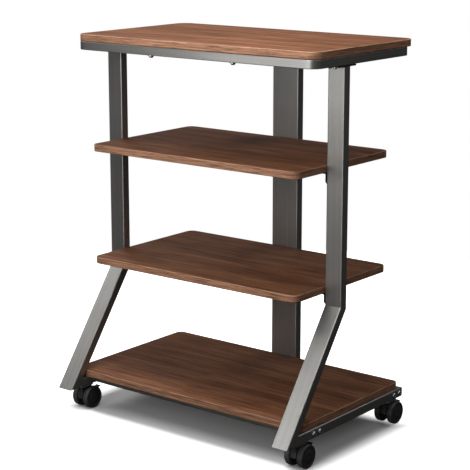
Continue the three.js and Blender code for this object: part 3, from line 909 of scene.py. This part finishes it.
def inset_outline(points, back):
    """Moves each point of a closed outline, drawn anticlockwise, inwards along the bisector of
    its two edges, far enough that both edges move in by the same distance."""
    before = points - np.roll(points, 1, axis=0)
    after = np.roll(points, -1, axis=0) - points
    before /= np.linalg.norm(before, axis=1)[:, None]
    after /= np.linalg.norm(after, axis=1)[:, None]
    left = np.column_stack([-before[:, 1], before[:, 0]])
    right = np.column_stack([-after[:, 1], after[:, 0]])
    bisector = left + right
    bisector /= np.linalg.norm(bisector, axis=1)[:, None]
    share = np.maximum((bisector * left).sum(1), SLIMMEST_SHARE)
    return points + back * bisector / share[:, None]


def cheek_plate(name, outline, centre, half, ease):
    """A moulded slice: an outline drawn in y and z, carried across x from one side to the other,
    its rims drawn in by ease times (1 - sin) while x moves by ease times (1 - cos)."""
    turn = np.linspace(0, math.pi / 2, ARRIS_STEPS)
    inset = ease * (1 - np.sin(turn))
    shift = ease * (1 - np.cos(turn))
    offsets = np.concatenate([-half + shift, half - shift[::-1]])
    rings = []
    for offset, back in zip(offsets, np.concatenate([inset, inset[::-1]])):
        slice_rim = inset_outline(outline, back) + np.array(centre[1:])
        rings.append(np.column_stack([np.full(len(outline), centre[0] + offset), slice_rim]))
    return skin(name, rings, NYLON)


def arc(radius, begin, end, steps):
    """Points on a circle from one angle to the other."""
    angle = np.linspace(begin, end, steps)
    return np.column_stack([radius * np.cos(angle), radius * np.sin(angle)])


def lever_outline():
    """Side view of the brake lever round its pivot, anticlockwise: under the barrel, out along
    the tongue's underside to its tip and back on top; each side is a quadratic curve that dips
    and rises again, and the tip is a half circle."""
    barrel = arc(LEVER_BARREL, math.pi / 6, 2 * math.pi - math.pi / 3, 16)
    nose = np.array([LEVER_LENGTH - LEVER_THICK / 2, 0])
    tip = arc(LEVER_THICK / 2, -math.pi / 2, math.pi / 2, 7) + nose
    dip = np.array([LEVER_LENGTH / 2, -LEVER_DIP])
    under = pulled_curve(barrel[-1], dip - (0, LEVER_THICK), tip[0], 10)
    over = pulled_curve(tip[-1], dip, barrel[0], 10)
    return np.concatenate([under, tip[1:-1], over, barrel[1:-1]])


hood_rim = arc(HOOD_RADIUS, HOOD_HIGH, HOOD_LOW, 30)
hood_hub = arc(HUB_RADIUS, HOOD_LOW, HUB_END, 12)
hood_outline = np.concatenate([hood_rim, hood_hub])

for name, x, y in (
    ("caster_fl", -CASTER_SIDE, CASTER_FRONT),
    ("caster_fr", CASTER_SIDE, CASTER_FRONT),
    ("caster_rl", -CASTER_SIDE, CASTER_REAR),
    ("caster_rr", CASTER_SIDE, CASTER_REAR),
):
    low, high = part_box(name + "_plate")
    base = high[2] - CASTER_PLATE
    near = (low[0], low[1], base)
    label = name + "_plate_blank"
    plate = eased_slab(label, near, high, CASTER_PLATE_CORNER, PLATE_EASE, ZINC, corner_steps=6)
    dressed(plate, "rack", "zinc", name + "_plate")
    race = turned(name + "_race", RACE_PROFILE, (x, y, base), DOWN, ZINC, sides=40)
    dressed(race, "rack", "zinc")
    for number, (sx, sy) in enumerate(((-1, -1), (1, -1), (1, 1), (-1, 1)), 1):
        seat = (x + sx * CASTER_SCREW_REACH, y + sy * CASTER_SCREW_REACH, base)
        screw = socket_screw(f"{name}_screw_{number}", seat, DOWN, *CASTER_SCREW)
        dressed(screw, "rack", "zinc")

    fork = name + "_fork"
    axle = (x, y + TRAIL, AXLE_HEIGHT)
    hood = cheek_plate(name + "_hood_shell", hood_outline, axle, HOOD_HALF, HOOD_EASE)
    dressed(hood, fork, "nylon", name + "_hood")
    dressed(turned(name + "_hub", HUB_PROFILE, axle, (1, 0, 0), NYLON), fork, "nylon")
    boss = turned(name + "_boss", BOSS_PROFILE, (x, y, BOSS_FOOT), (0, 0, 1), NYLON)
    dressed(boss, fork, "nylon")
    pin = turned(name + "_axle_pin", AXLE_PROFILE, axle, (1, 0, 0), ZINC)
    dressed(pin, fork, "zinc", name + "_axle")

    for side, sign in (("left", -1), ("right", 1)):
        label = f"{name}_wheel_{side}_moulding"
        foot = (x + sign * WHEEL_INNER, axle[1], AXLE_HEIGHT)
        way, finishes = (sign, 0, 0), (NYLON, TREAD)
        wheel = turned(label, WHEEL_PROFILE, foot, way, finishes, sides=72, bands=WHEEL_BANDS)
        dressed(wheel, f"{name}_{side}_wheel", "tread", f"{name}_wheel_{side}")

    pivot = (x, axle[1] + LEVER_PIVOT[0], AXLE_HEIGHT + LEVER_PIVOT[1])
    lever = cheek_plate(name + "_lever_moulding", lever_outline(), pivot, LEVER_HALF, LEVER_EASE)
    dressed(lever, name + "_brake", "nylon", name + "_lever")
